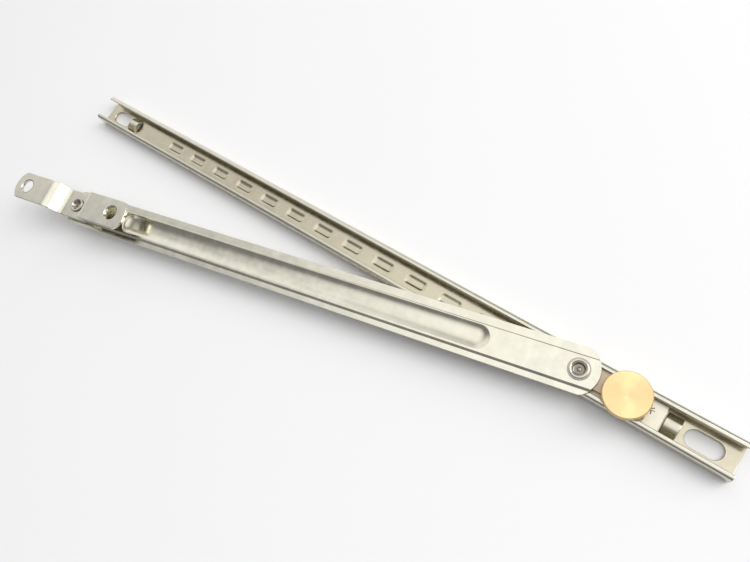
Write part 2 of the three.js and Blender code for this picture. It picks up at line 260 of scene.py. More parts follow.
def round_corners(piece, radius, segments):
    """In edit mode, round the corners of a single flat face, and leave it selected."""
    pick_all()
    bpy.ops.mesh.bevel(offset=radius, segments=segments, affect="VERTICES", clamp_overlap=False)
    pick_all()
    bpy.ops.mesh.remove_doubles(threshold=WELD)
    pick(piece, "FACE", lambda f: True)


def apply_modifier(piece, kind, **settings):
    only(piece)
    modifier = piece.modifiers.new(kind.lower(), kind)
    for key, value in settings.items():
        setattr(modifier, key, value)
    bpy.ops.object.modifier_apply(modifier=modifier.name)


def combine(piece, tool, operation, use_self=False):
    """Join, cut or intersect a piece with another closed one, which is then used up."""
    apply_modifier(piece, "BOOLEAN", object=tool, operation=operation, solver="EXACT", use_self=use_self)
    bpy.data.objects.remove(tool)


def bevel_edges(piece, width, segments=2, angle=55, clamp=True):
    apply_modifier(piece, "BEVEL", width=width, segments=segments, limit_method="ANGLE",
                   angle_limit=math.radians(angle), use_clamp_overlap=clamp, miter_outer="MITER_ARC")


def smooth(piece, angle=32):
    """Smooth shading that stays flat on large faces and sharp at true edges."""
    only(piece)
    bpy.ops.object.shade_smooth_by_angle(angle=math.radians(angle))
    with editing(piece):
        pick(piece, "FACE", lambda f: abs(f.normal.z) > 0.9999 and f.calc_area() > 1.5 * MM * MM)
        bpy.ops.mesh.faces_shade_flat()
    apply_modifier(piece, "WEIGHTED_NORMAL", mode="FACE_AREA", keep_sharp=True, weight=100)


def turned(name, profile, centre, steps=64):
    """Spin a profile, (radius, height) from axis to axis, round a vertical axis."""
    piece = add_plane(name, centre.x, centre.x + MM, centre.y, centre.y + MM, 0)
    with editing(piece):
        pick_all()
        bpy.ops.mesh.merge(type="CENTER")
        spot = bmesh.from_edit_mesh(piece.data).verts[:][0].co
        start = Vector((centre.x + profile[0][0], centre.y, profile[0][1]))
        bpy.ops.transform.translate(value=start - spot)
        for (r0, z0), (r1, z1) in zip(profile, profile[1:]):
            bpy.ops.mesh.extrude_vertices_move(
                TRANSFORM_OT_translate={"value": (r1 - r0, 0, z1 - z0)})
        pick_all()
        bpy.ops.mesh.spin(steps=steps, angle=2 * math.pi, center=(centre.x, centre.y, 0), axis=(0, 0, 1))
        weld(piece)
    return piece


def disc_tool(radius, bottom, top, x, y=0.0, flare=0.0):
    """A round cutter, wider by the flare at both ends so that the rims it leaves are chamfered."""
    mid_low, mid_high = bottom + flare, top - flare
    over = 0.3 * MM
    profile = [(0, bottom - over), (radius + flare, bottom - over), (radius + flare, bottom),
               (radius, mid_low), (radius, mid_high), (radius + flare, top),
               (radius + flare, top + over), (0, top + over)]
    if flare == 0:
        profile = [(0, bottom - over), (radius, bottom - over), (radius, top + over), (0, top + over)]
    return turned("tool", profile, Vector((x, y, 0)), 48)


def shift_vertices(piece, test, step_of):
    """Move each vertex that passes the test by its own step."""
    mesh = bmesh.from_edit_mesh(piece.data)
    places = [v.co.copy() for v in mesh.verts if test(v)]
    for place in places:
        pick(piece, "VERT", lambda v: (v.co - place).length < WELD)
        bpy.ops.transform.translate(value=step_of(place))


def strap_tool(x0, x1, width, sagitta, bottom, top, corner, cuts=17):
    """A solid with the outline of a strap: straight sides, and ends bowed out between soft corners."""
    half = width / 2
    radius = (half * half + sagitta * sagitta) / (2 * sagitta)
    piece = add_plane("tool", x0 + sagitta, x1 - sagitta, -half, half, bottom)
    with editing(piece):
        for end, out in ((x0 + sagitta, -1), (x1 - sagitta, 1)):
            pick(piece, "EDGE", lambda e: all(near(v.co.x, end) for v in e.verts))
            bpy.ops.mesh.subdivide(number_cuts=cuts)
            shift_vertices(
                piece, lambda v: near(v.co.x, end) and abs(v.co.y) < half - WELD,
                lambda co: (out * (math.sqrt(radius ** 2 - co.y ** 2) - radius + sagitta), 0, 0))
        pick(piece, "VERT", lambda v: near(abs(v.co.y), half))
        bpy.ops.mesh.bevel(offset=corner, segments=5, affect="VERTICES", clamp_overlap=False)
        pick_all()
        extrude((0, 0, top - bottom))
        weld(piece)
    return piece


def pressed_tile(name, x0, x1, y0, y1, z, hollow, corner, profile, segments=6):
    """A flat rectangle of sheet with a hollow pressed in it. hollow is (x0, x1, half width) over its
    rim, corner the rim's corner radius, and profile (run, depth) pairs from the rim inwards."""
    from_x, to_x, half = hollow
    full_round = near(corner, half)
    piece = add_plane(name, from_x, to_x, -half, half, z)
    with editing(piece):
        round_corners(piece, corner, segments)
        for (run0, depth0), (run1, depth1) in zip(profile, profile[1:]):
            bpy.ops.mesh.inset(thickness=run1 - run0, depth=depth0 - depth1, use_even_offset=True)
        pick(piece, "EDGE", lambda e: e.is_boundary)
        extrude((0, 0, 0))
        # the extruded rim is drawn out to the rectangle: each rounded corner to a corner of it
        rim_x = (to_x - from_x) / 2 - corner
        mid_x = (from_x + to_x) / 2
        for side_x, target_x in ((-1, x0), (1, x1)):
            if full_round:
                pick(piece, "VERT", lambda v: v.is_boundary and near(v.co.y, 0)
                     and near(v.co.x, mid_x + side_x * (rim_x + corner)))
                bpy.ops.transform.translate(value=(target_x - mid_x - side_x * (rim_x + corner), 0, 0))
            for side_y, target_y in ((-1, y0), (1, y1)):
                pick(piece, "VERT", lambda v: v.is_boundary
                     and side_x * (v.co.x - mid_x) > rim_x - WELD
                     and side_y * v.co.y > half - corner + (WELD if full_round else -WELD)
                     and side_x * (v.co.x - mid_x) < rim_x + corner + WELD
                     and abs(v.co.y) < half + WELD)
                bpy.ops.mesh.merge(type="CENTER")
                spot = next(v.co for v in bmesh.from_edit_mesh(piece.data).verts if v.select)
                bpy.ops.transform.translate(value=Vector((target_x, target_y, z)) - spot)
        weld(piece)
    return piece


def face_up(piece):
    """In edit mode, turn an open sheet so that its broad faces look up."""
    mesh = bmesh.from_edit_mesh(piece.data)
    area_up = sum(f.calc_area() * f.normal.z for f in mesh.faces)
    if area_up < 0:
        pick_all()
        bpy.ops.mesh.flip_normals()


def put_on_arm(piece, along=0.0):
    """Take a piece from the arm's own coordinates, x from the pivot to the end rivet, to its place."""
    only(piece)
    piece.rotation_euler = (0, 0, ARM_TURN)
    piece.location = PIVOT + (END_RIVET - PIVOT) * (along / REACH)
    settle()


def hand_over(piece, body, material, slot, *nodes):
    """Give a finished piece its material, its body and the nodes it stands for."""
    piece.data.materials.clear()
    piece.data.materials.append(material)
    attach(piece, body)
    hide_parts(*nodes)


# ---------------------------------------------------------------- materials
class Nodes:
    """A short way to lay out and link a material's nodes."""

    def __init__(self, name):
        self.material = bpy.data.materials.new(name)
        self.material.use_nodes = True
        self.tree = self.material.node_tree
        self.shader = self.tree.nodes["Principled BSDF"]

    def add(self, kind, links=(), **settings):
        node = self.tree.nodes.new(kind)
        for key, value in settings.items():
            setattr(node, key, value)
        for name, value in dict(links).items():
            self.feed(node.inputs[name], value)
        return node

    def feed(self, socket, value):
        if isinstance(value, bpy.types.NodeSocket):
            self.tree.links.new(value, socket)
        else:
            socket.default_value = value

    def coordinates(self, centre=(0, 0, 0), turn=0.0, scale=(1, 1, 1)):
        """Object coordinates about a centre, turned so that x runs along the piece."""
        source = self.add("ShaderNodeTexCoord").outputs["Object"]
        moved = self.add("ShaderNodeVectorMath", {0: source, 1: tuple(-c for c in centre)}, operation="ADD")
        mapping = self.add("ShaderNodeMapping", {"Vector": moved.outputs[0], "Rotation": (0, 0, -turn),
                                                 "Scale": scale})
        return mapping.outputs["Vector"]

    def noise(self, vector, scale, detail=3.0, roughness=0.5):
        node = self.add("ShaderNodeTexNoise", {"Vector": vector, "Scale": scale, "Detail": detail,
                                               "Roughness": roughness})
        return node.outputs["Fac"]

    def spread(self, value, low, high, start=0.0, end=1.0):
        """Map a 0 to 1 value onto a range."""
        node = self.add("ShaderNodeMapRange", {"Value": value, "From Min": start, "From Max": end,
                                               "To Min": low, "To Max": high})
        return node.outputs["Result"]

    def blend(self, factor, first, second, mode="MIX"):
        node = self.add("ShaderNodeMix", data_type="RGBA", blend_type=mode)
        self.feed(node.inputs[0], factor)
        self.feed(node.inputs[6], first)
        self.feed(node.inputs[7], second)
        return node.outputs[2]

    def bump(self, height, distance, strength=1.0, normal=None):
        links = {"Height": height, "Distance": distance, "Strength": strength}
        if normal is not None:
            links["Normal"] = normal
        return self.add("ShaderNodeBump", links).outputs["Normal"]


def shaded(rgb, factor):
    return tuple(min(1.0, c * factor) for c in rgb) + (1.0,)


def darkened(n, tone, depth_shade):
    """Paint shade into a tone, darkest low down: three numbers give the height where the painted shade is
    darkest, the height where it ends, and its darkest factor.
    """
    low, high, factor = depth_shade
    source = n.add("ShaderNodeTexCoord").outputs["Object"]
    height = n.add("ShaderNodeSeparateXYZ", {0: source}).outputs["Z"]
    share = n.spread(height, 0, 1, low, high)
    # painted shade: a warm dark tint multiplied into the tone low down
    shade_tint = (factor, factor * 0.95, factor * 0.86, 1)
    return n.blend(1.0, tone, n.blend(share, shade_tint, (1, 1, 1, 1)), "MULTIPLY")


def brushed_metal(name, rgb, roughness, turn=0.0, centre=(0, 0, 0), grain=1.0, tarnish=0.12, depth_shade=None):
    """Satin metal: fine lengthwise grain, faint blotches of tone and gloss, and small specks."""
    n = Nodes(name)
    along = n.coordinates(centre, turn, (0.04, 1, 1))
    plain = n.coordinates(centre, turn)
    grain_fac = n.noise(along, 2600, 4, 0.6)
    blotch = n.noise(plain, 210, 4, 0.6)
    cloud = n.noise(plain, 45, 3, 0.5)
    specks = n.spread(n.noise(plain, 1500, 2, 0.5), 0, 1, 0.70, 0.78)
    tone = n.blend(n.spread(blotch, 0, 1, 0.35, 0.7), shaded(rgb, 1.0 - tarnish), shaded(rgb, 1.04))
    warm = (rgb[0], rgb[1] * 0.97, rgb[2] * 0.88)
    tone = n.blend(n.spread(cloud, 0.0, 0.35, 0.4, 0.7), tone, shaded(warm, 0.97))
    tone = n.blend(n.spread(specks, 0, 0.12), tone, shaded(rgb, 0.7))
    # painted shade: the tone darkens towards the bottom of the piece
    if depth_shade:
        tone = darkened(n, tone, depth_shade)
    n.feed(n.shader.inputs["Base Color"], tone)
    n.shader.inputs["Metallic"].default_value = 1.0
    n.feed(n.shader.inputs["Roughness"], n.spread(blotch, roughness - 0.05, roughness + 0.06, 0.3, 0.7))
    fine = n.bump(grain_fac, 0.002 * MM * grain, 1.0)
    n.feed(n.shader.inputs["Normal"], n.bump(cloud, 0.02 * MM * grain, 0.6, fine))
    return n.material


def turned_metal(name, rgb, roughness, centre, spacing, anisotropy, depth_shade=None):
    """Metal fresh from the lathe: fine rings round an axis, and a sheen that follows them."""
    n = Nodes(name)
    place = n.coordinates((centre.x, centre.y, 0))
    flat = n.add("ShaderNodeVectorMath", {0: place, 1: (1, 1, 0)}, operation="MULTIPLY").outputs[0]
    radius = n.add("ShaderNodeVectorMath", {0: flat}, operation="LENGTH").outputs["Value"]
    rings = n.add("ShaderNodeMath", {0: n.add("ShaderNodeMath", {0: radius, 1: math.tau / spacing},
                                             operation="MULTIPLY").outputs[0]}, operation="SINE").outputs[0]
    blotch = n.noise(place, 260, 4, 0.6)
    cloud = n.noise(place, 90, 2, 0.5)
    tone = n.blend(n.spread(blotch, 0, 1, 0.3, 0.75), shaded(rgb, 0.86), shaded(rgb, 1.05))
    warm = (rgb[0], rgb[1] * 0.86, rgb[2] * 0.72)
    tone = n.blend(n.spread(cloud, 0, 0.5, 0.45, 0.7), tone, shaded(warm, 1.0))
    tone = n.blend(n.spread(rings, 0, 0.10, 0.2, 1.0), tone, shaded(rgb, 0.72))
    # painted shade: the tone darkens towards the bottom of the piece
    if depth_shade:
        tone = darkened(n, tone, depth_shade)
    n.feed(n.shader.inputs["Base Color"], tone)
    n.shader.inputs["Metallic"].default_value = 1.0
    n.feed(n.shader.inputs["Roughness"], n.spread(blotch, roughness - 0.05, roughness + 0.05, 0.3, 0.7))
    n.shader.inputs["Anisotropic"].default_value = anisotropy
    round_axis = n.add("ShaderNodeVectorMath", {0: flat, 1: (0, 0, 1)}, operation="CROSS_PRODUCT").outputs[0]
    tangent = n.add("ShaderNodeVectorMath", {0: round_axis}, operation="NORMALIZE").outputs[0]
    n.feed(n.shader.inputs["Tangent"], tangent)
    n.feed(n.shader.inputs["Normal"], n.bump(rings, 0.003 * MM, 1.0))
    return n.material


def moulded_nylon(name, rgb):
    """Natural nylon: slightly waxy, with faint mottling and a fine moulded skin."""
    n = Nodes(name)
    place = n.coordinates()
    mottle = n.noise(place, 320, 4, 0.6)
    skin = n.noise(place, 2200, 3, 0.5)
    n.feed(n.shader.inputs["Base Color"], n.blend(mottle, shaded(rgb, 0.92), shaded(rgb, 1.06)))
    n.feed(n.shader.inputs["Roughness"], n.spread(mottle, 0.42, 0.58))
    n.shader.inputs["Subsurface Weight"].default_value = 0.15
    n.shader.inputs["Subsurface Radius"].default_value = (1.0 * MM, 0.9 * MM, 0.7 * MM)
    n.shader.inputs["Subsurface Scale"].default_value = 1.0
    n.feed(n.shader.inputs["Normal"], n.bump(skin, 0.01 * MM, 0.6))
    return n.material


def matt_floor(name, rgb):
    """Pale seamless paper with the faintest unevenness."""
    n = Nodes(name)
    place = n.coordinates()
    cloud = n.noise(place, 6, 2, 0.5)
    n.feed(n.shader.inputs["Base Color"], n.blend(cloud, shaded(rgb, 0.985), shaded(rgb, 1.01)))
    n.shader.inputs["Roughness"].default_value = 0.85
    n.shader.inputs["Specular IOR Level"].default_value = 0.15
    return n.material


# ---------------------------------------------------------------- track
def channel_path(s):
    """Half of the channel's section, (across, up): from the floor's edge round the lip to the underside."""
    wide = TRACK_HIGH.y
    high = TRACK_HIGH.z
    out = wide - s.bend
    inner = s.bend - s.sheet
    lip = s.opening / 2
    soft = 0.22 * MM
    return (
        arc(out, s.bend, inner, -90, 0, 3)
        + arc(out, high - s.bend, inner, 0, 90, 3)
        + arc(lip + soft, high - s.sheet + soft, soft, -90, -180, 3)
        + arc(lip + soft, high - soft, soft, 180, 90, 3)
        + arc(out, high - s.bend, s.bend, 90, 0, 8)
        + arc(out, s.bend, s.bend, 0, -90, 8)
    )


def dimple_profile(s, run=1.55 * MM, steps=8):
    """A soft S from the rim down to the dimple's flat bottom."""
    shares = [i / steps for i in range(steps + 1)]
    return [(run * t, s.dimple_depth * (1 - math.cos(math.pi * t)) / 2) for t in shares]


def track_floor(s, out):
    """The channel's floor: plain ends, and between them one tile for each dimple."""
    half_pitch = s.dimple_pitch / 2
    half = s.dimple_width / 2
    profile = dimple_profile(s)
    hollow = (s.dimple_first - s.dimple_length / 2, s.dimple_first + s.dimple_length / 2, half)
    first = pressed_tile(
        "track", s.dimple_first - half_pitch, s.dimple_first + half_pitch, -out, out, s.sheet,
        hollow, 1.7 * MM, profile)
    tiles = [first]
    for i in range(1, s.dimple_count):
        only(first)
        bpy.ops.object.duplicate()
        bpy.ops.transform.translate(value=(i * s.dimple_pitch, 0, 0))
        settle()
        tiles.append(bpy.context.object)
    start = s.dimple_first - half_pitch
    end = start + s.dimple_count * s.dimple_pitch
    tiles.append(add_plane("tile", TRACK_LOW.x, start, -out, out, s.sheet))
    tiles.append(add_plane("tile", end, TRACK_HIGH.x, -out, out, s.sheet))
    only(first)
    for tile in tiles:
        tile.select_set(True)
    bpy.ops.object.join()
    return first


def stop_span(s, side):
    """Where a lanced stop starts and ends along the track, lower x first."""
    return sorted((side * s.stop_face, side * (s.stop_face + s.stop_length)))


def lanced_stop(s, side):
    """A strip of the floor lanced free and pushed up into an arch."""
    x0, x1 = stop_span(s, side)
    steps = 28
    foot = 0.2 * MM
    half, high = s.stop_half_span, s.stop_height - foot
    angles = [math.pi * (1 - i / steps) for i in range(steps + 1)]
    path = [(half * math.cos(a), foot + high * math.sin(a)) for a in angles]
    strip = add_plane("stop", x0, x1, path[0][0] - 0.01 * MM, path[0][0], path[0][1])
    with editing(strip):
        pick(strip, "EDGE", lambda e: all(near(v.co.y, path[0][0], WELD) for v in e.verts))
        extrude_through(path, lambda across, up: (0, across, up))
        pick(strip, "FACE", lambda f: f.calc_center_median().y < path[0][0])
        bpy.ops.mesh.delete(type="FACE")
        weld(strip)
        face_up(strip)
    apply_modifier(strip, "SOLIDIFY", thickness=s.sheet * STOP_THINNING, offset=-1, use_even_offset=True)
    bevel_edges(strip, 0.28 * MM, 3)
    return strip


def stop_window(s, side):
    """The opening that a lanced stop leaves in the floor under it."""
    x0, x1 = stop_span(s, side)
    half = s.stop_half_span - s.sheet * STOP_THINNING
    return add_box("tool", x0, x1, -half, half, -0.5 * MM, s.sheet + 0.2 * MM)


def slot_tool(s, side):
    """A cutter for a mounting slot, flared at both ends to chamfer its rims."""
    centre = side * (TRACK_HIGH.x - s.slot_from_end)
    flare = 0.12 * MM
    half = s.slot_width / 2
    over = 0.2 * MM
    x0 = centre - s.slot_length / 2 - flare
    x1 = centre + s.slot_length / 2 + flare
    tool = add_plane("tool", x0, x1, -half - flare, half + flare, s.sheet + over)
    with editing(tool):
        round_corners(tool, half + flare, 12)
        extrude((0, 0, -over))
        bpy.ops.mesh.inset(thickness=flare, depth=0)
        bpy.ops.transform.translate(value=(0, 0, -flare))
        extrude((0, 0, 2 * flare - s.sheet))
        bpy.ops.mesh.inset(thickness=-flare, depth=0)
        bpy.ops.transform.translate(value=(0, 0, -flare))
        extrude((0, 0, -over))
        weld(tool)
    return tool


def build_track(s):
    path = channel_path(s)
    out = path[0][0]
    piece = track_floor(s, out)
    with editing(piece):
        weld(piece)
        face_up(piece)
        for side in (-1, 1):
            pick(piece, "EDGE", lambda e: e.is_boundary and all(near(v.co.y, side * out) for v in e.verts))
            extrude_through(path, lambda across, up: (0, side * across, up))
        extrude((0, -2 * out, 0))
        pick_all()
        bpy.ops.mesh.remove_doubles(threshold=WELD)
        for end in (TRACK_LOW.x, TRACK_HIGH.x):
            pick(piece, "EDGE", lambda e: e.is_boundary and all(near(v.co.x, end) for v in e.verts))
            bpy.ops.mesh.edge_face_add()
        weld(piece)
        pick(piece, "EDGE", lambda e: all(near(abs(v.co.x), TRACK_HIGH.x) for v in e.verts))
        bpy.ops.mesh.bevel(offset=0.09 * MM, segments=2, affect="EDGES", clamp_overlap=True)
    for side in (-1, 1):
        combine(piece, slot_tool(s, side), "DIFFERENCE")
        combine(piece, stop_window(s, side), "DIFFERENCE")
        combine(piece, lanced_stop(s, side), "UNION")
    smooth(piece)
    return piece


# ---------------------------------------------------------------- slider
def build_plate(s):
    low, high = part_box("slider_plate")
    piece = add_box("slider_plate_skin", low.x, high.x, low.y, high.y, low.z, high.z)
    with editing(piece):
        pick(piece, "EDGE", lambda e: abs(e.verts[0].co.z - e.verts[1].co.z) > 0.5 * MM)
        bpy.ops.mesh.bevel(offset=0.5 * MM, segments=4, affect="EDGES")
    combine(piece, disc_tool(RIVET_HOLE, low.z, high.z, PIVOT.x, PIVOT.y), "DIFFERENCE")
    combine(piece, disc_tool(3.85 * MM, low.z, high.z, SCREW_AXIS.x, SCREW_AXIS.y), "DIFFERENCE")
    bevel_edges(piece, s.edge, 2)
    # three short torn tool marks between the screw and the plate's end
    marks = ((7.75, 1.5, 1.8, 0.7, 38), (7.8, 0.3, 1.7, 0.75, -72), (8.2, 0.9, 1.5, 0.5, 8))
    for along, across, size, width, turn in marks:
        mark = add_box("tool", -size / 2 * MM, size / 2 * MM, -width / 2 * MM, width / 2 * MM,
                       -s.scar_depth, 1.0 * MM)
        with editing(mark):
            pick(mark, "FACE", lambda f: f.normal.z < -0.5)
            bpy.ops.transform.resize(value=(0.7, 0.25, 1))
        mark.rotation_euler = (0, 0, math.radians(turn))
        mark.location = (SCREW_AXIS.x + along * MM, across * MM, high.z)
        only(mark)
        settle()
        combine(piece, mark, "DIFFERENCE")
    smooth(piece)
    return piece


def build_block(s):
    low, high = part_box("slider_block")
    shoulder_top = low.z + s.shoulder
    half = s.neck_width / 2
    piece = add_box("slider_block_skin", low.x, high.x, low.y, high.y, low.z, shoulder_top)
    with editing(piece):
        for side in (-1, 1):
            pick_all()
            bpy.ops.mesh.bisect(plane_co=(0, side * half, 0), plane_no=(0, 1, 0), threshold=WELD)
        pick(piece, "FACE", lambda f: f.normal.z > 0.5 and abs(f.calc_center_median().y) < half)
        extrude((0, 0, high.z - shoulder_top))
        weld(piece)
    combine(piece, disc_tool(RIVET_HOLE, low.z, high.z, PIVOT.x, PIVOT.y), "DIFFERENCE")
    combine(piece, disc_tool(2.8 * MM, low.z, high.z, SCREW_AXIS.x, SCREW_AXIS.y), "DIFFERENCE")
    # the ring rises into a counterbore as the screw is undone
    combine(piece, disc_tool(3.75 * MM, low.z, low.z + 0.9 * MM, SCREW_AXIS.x, SCREW_AXIS.y), "DIFFERENCE")
    bevel_edges(piece, s.edge, 2)
    smooth(piece)
    return piece


def build_thumb_screw(s):
    """Screw with a knurled head: its rim is spun with two steps a tooth, and every other one is drawn in."""
    low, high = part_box("thumb_screw")
    head = (high.x - low.x) / 2
    top, tip = high.z, low.z
    head_bottom = top - 3.0 * MM
    collar_bottom = head_bottom - 0.6 * MM
    groove = 2.0 * MM
    groove_low, groove_high = 2.25 * MM, 2.85 * MM
    c = s.chamfer
    thread = []
    crest = groove_high + 0.15 * MM
    while crest + THREAD_PITCH < collar_bottom:
        thread += [(s.shank, crest), (s.shank - 0.3 * MM, crest + THREAD_PITCH / 2)]
        crest += THREAD_PITCH
    profile = (
        [(0, 3.45 * MM), (1.2 * MM, 3.45 * MM), (1.2 * MM, tip), (s.shank - 0.25 * MM, tip),
         (s.shank, tip + 0.2 * MM), (s.shank, groove_low), (groove, groove_low), (groove, groove_high),
         (s.shank, groove_high)]
        + thread
        + [(s.shank, collar_bottom), (s.collar, collar_bottom), (s.collar, head_bottom),
           (head - c, head_bottom), (head - c * 0.25, head_bottom + c * 0.6), (head, head_bottom + c),
           (head, top - c), (head - c * 0.3, top - c * 0.4), (head - c, top)]
        + [(head - c - 0.5 * MM, top), (3.4 * MM, top), (0.3 * MM, top), (0, top - 0.04 * MM)]
    )
    piece = turned("thumb_screw_turned", profile, SCREW_AXIS, 2 * s.teeth)
    step = math.pi / s.teeth

    def on_groove(v):
        spoke = v.co - SCREW_AXIS
        radius = math.hypot(spoke.x, spoke.y)
        turn = math.atan2(spoke.y, spoke.x) / step
        return radius > head - c * 0.5 and round(turn) % 2 == 0

    with editing(piece):
        pick(piece, "VERT", on_groove)
        shrink = 1 - s.tooth_depth / head
        bpy.ops.transform.resize(value=(shrink, shrink, 1), center_override=tuple(SCREW_AXIS))
    only(piece)
    bpy.ops.object.shade_smooth_by_angle(angle=math.radians(20))
    return piece


# ---------------------------------------------------------------- rivets and washer
def rivet_profile(head, head_low, head_high, shank, rim, rim_low, rim_high, recess, depth):
    """Semi-tubular rivet: flat head below, shank, and a rolled rim round a cupped recess."""
    soft = 0.12 * MM
    roll = (rim_high - rim_low) / 2
    floor = rim_high - depth
    foot = recess * 0.76
    return (
        [(0, head_low), (head - soft, head_low), (head, head_low + soft), (head, head_high),
         (shank, head_high), (shank, rim_low), (rim - roll, rim_low)]
        + arc(rim - roll, rim_low + roll, roll, -90, 90, 8)
        + [(recess + 0.28 * MM, rim_high), (recess + 0.1 * MM, rim_high - 0.07 * MM),
           (recess, rim_high - 0.2 * MM), (foot + 0.12 * MM, floor + 0.22 * MM), (foot, floor + 0.08 * MM),
           (foot - 0.25 * MM, floor + 0.02 * MM), (0.75 * MM, floor), (0.6 * MM, floor + 0.12 * MM),
           (0.3 * MM, floor + 0.22 * MM), (0, floor + 0.24 * MM)]
    )


def build_rivet(name, node, centre, head_high, rim_height, recess, depth, rim):
    low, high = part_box(node)
    head = (high.x - low.x) / 2
    profile = rivet_profile(head, low.z, head_high, RIVET_SHANK, rim, high.z - rim_height, high.z,
                            recess, depth)
    piece = turned(name, profile, centre)
    smooth(piece, 40)
    return piece


def build_washer(name, node, centre, bore):
    low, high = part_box(node)
    outer = (high.x - low.x) / 2
    soft = 0.1 * MM
    profile = [(bore, low.z), (outer - soft, low.z), (outer, low.z + soft), (outer, high.z - soft),
               (outer - soft, high.z), (bore, high.z), (bore, low.z)]
    piece = turned(name, profile, centre)
    smooth(piece, 40)
    return piece


# ---------------------------------------------------------------- arm
def trough_profile(s, rim=0.55 * MM, steps=18, fullness=2.7):
    """From a soft rim, steepest just inside it, to a flat middle: the slope falls off evenly."""
    run = s.trough_half + TROUGH_RIM
    share = 1 - rim / run
    slope = fullness * share ** (fullness - 1) / run
    deepest = share ** fullness + slope * rim / 2
    points = []
    for i in range(steps + 1):
        at = (run - 0.25 * MM) * (i / steps) ** 1.35
        depth = slope * at * at / (2 * rim) if at < rim else deepest - (1 - at / run) ** fullness
        points.append((at, s.trough_depth * depth / deepest))
    return points


def soft_step(start, rise, run, steps=6):
    """Points of an S-shaped step up (or down, if rise is negative)."""
    across, up = start
    shares = [i / steps for i in range(steps + 1)]
    return [(across + run * t, up + rise * (1 - math.cos(math.pi * t)) / 2) for t in shares]


def build_arm(s):
    land_top = ARM_TOP
    band_top = land_top - s.land_rise
    spare = 2 * MM
    x0, x1 = -s.overhang - spare, REACH + s.overhang + spare
    steep, shallow = 0.55 * MM, 0.85 * MM
    rim = s.trough_half + TROUGH_RIM
    hollow = (s.trough_from - TROUGH_RIM, s.trough_to + TROUGH_RIM, rim)
    edge_low = min(s.land_from + steep, -rim - 0.02 * MM)
    edge_high = s.land_to - shallow
    piece = pressed_tile("arm_pressed", x0, x1, edge_low, edge_high, land_top, hollow, rim,
                         trough_profile(s), segments=14)
    outer = s.width / 2 + spare
    with editing(piece):
        face_up(piece)
        for edge, foot in ((edge_low, s.land_from), (edge_high, s.land_to)):
            side = math.copysign(1, edge)
            pick(piece, "EDGE", lambda e: e.is_boundary and all(near(v.co.y, edge) for v in e.verts))
            path = soft_step((0, 0), -s.land_rise, abs(foot - edge)) + [(outer - abs(edge), -s.land_rise)]
            extrude_through(path, lambda across, up: (0, side * across, up))
        pick_all()
        bpy.ops.mesh.normals_make_consistent(inside=False)
        face_up(piece)
    apply_modifier(piece, "SOLIDIFY", thickness=s.thickness, offset=-1, use_even_offset=True)
    outline = strap_tool(-s.overhang, REACH + s.overhang, s.width, s.sagitta,
                         band_top - 6 * MM, land_top + 2 * MM, 0.9 * MM)
    combine(piece, outline, "INTERSECT", use_self=True)
    for along in (0, REACH):
        combine(piece, disc_tool(RIVET_HOLE, band_top - 3 * MM, land_top, along), "DIFFERENCE")
    bevel_edges(piece, 0.22 * MM, 3, 60)
    smooth(piece)
    put_on_arm(piece)
    return piece


# ---------------------------------------------------------------- bracket
def bend(angle, foot, crown, rise):
    """Centre line of a bend up, (along, up) from its foot: foot arc, straight slope, crown arc."""
    turn = math.radians(angle)
    straight = (rise - (foot + crown) * (1 - math.cos(turn))) / math.tan(turn)
    run = (foot + crown) * math.sin(turn) + straight
    return (arc(0, foot, foot, -90, -90 + angle, 10)
            + arc(run, rise - crown, crown, 90 + angle, 90, 12))


def build_bracket(s):
    top = BRACKET_TOP - s.rise
    centre = top - s.thickness / 2
    spare = 2 * MM
    half = s.width / 2 + spare
    across = 11
    riser = bend(82, 1.25 * MM, 1.45 * MM, s.rise)
    ramp = bend(48.9, 3.85 * MM, 4.95 * MM, s.rise)
    piece = add_plane("end_bracket_pressed", s.plate_from, s.plate_to, -half, half, centre)
    with editing(piece):
        pick(piece, "EDGE", lambda e: near(e.verts[0].co.x, e.verts[1].co.x))
        bpy.ops.mesh.subdivide(number_cuts=across)
        for edge, path, out, tip in ((s.plate_from, riser, -1, s.tab_end), (s.plate_to, ramp, 1, s.lug_end)):
            pick(piece, "EDGE", lambda e: all(near(v.co.x, edge) for v in e.verts))
            flat = abs(tip) - abs(edge) - path[-1][0] + spare
            run = path + [(path[-1][0] + flat, path[-1][1])]
            extrude_through(run, lambda along, up: (out * along, 0, up))
        weld(piece)
        face_up(piece)
    apply_modifier(piece, "SOLIDIFY", thickness=s.thickness, offset=0, use_even_offset=True)
    outline = strap_tool(s.tab_end, s.lug_end, s.width, s.sagitta, centre - 3 * MM,
                         BRACKET_TOP + spare, 0.7 * MM)
    combine(piece, outline, "INTERSECT")
    low = centre - s.thickness / 2
    combine(piece, disc_tool(RIVET_HOLE, low, low + s.thickness, 0), "DIFFERENCE")
    for hole in (s.tab_hole, s.lug_hole):
        combine(piece, disc_tool(s.hole, low + s.rise, low + s.rise + s.thickness, hole, 0, 0.25 * MM),
                "DIFFERENCE")
    with editing(piece):
        pick(piece, "FACE", lambda f: abs(f.normal.z) > 0.9999)
        bpy.ops.mesh.dissolve_limited(angle_limit=math.radians(0.5))
    bevel_edges(piece, 0.25 * MM, 3, 60, clamp=False)
    smooth(piece)
    put_on_arm(piece, REACH)
    return piece


# ---------------------------------------------------------------- operators
class STAY_OT_track(bpy.types.Operator):
    """Fold the channel, press its dimples, cut its slots and lance its stops"""
    bl_idname = "stay.track"
    bl_label = "Track"

    def execute(self, context):
        finishes = context.scene.stay_finishes
        piece = build_track(context.scene.stay_track)
        piece.name = piece.data.name = "track_folded"
        # painted shade: the track steel darkens from 5.2 mm down to the floor, for the shade inside the
        # channel
        steel = brushed_metal("track steel", finishes.track, 0.20, grain=0.5, tarnish=0.08,
                              depth_shade=(0.9 * MM, 5.2 * MM, 0.86))
        hand_over(piece, "track", steel, "satin_steel", "track_channel")
        return {"FINISHED"}


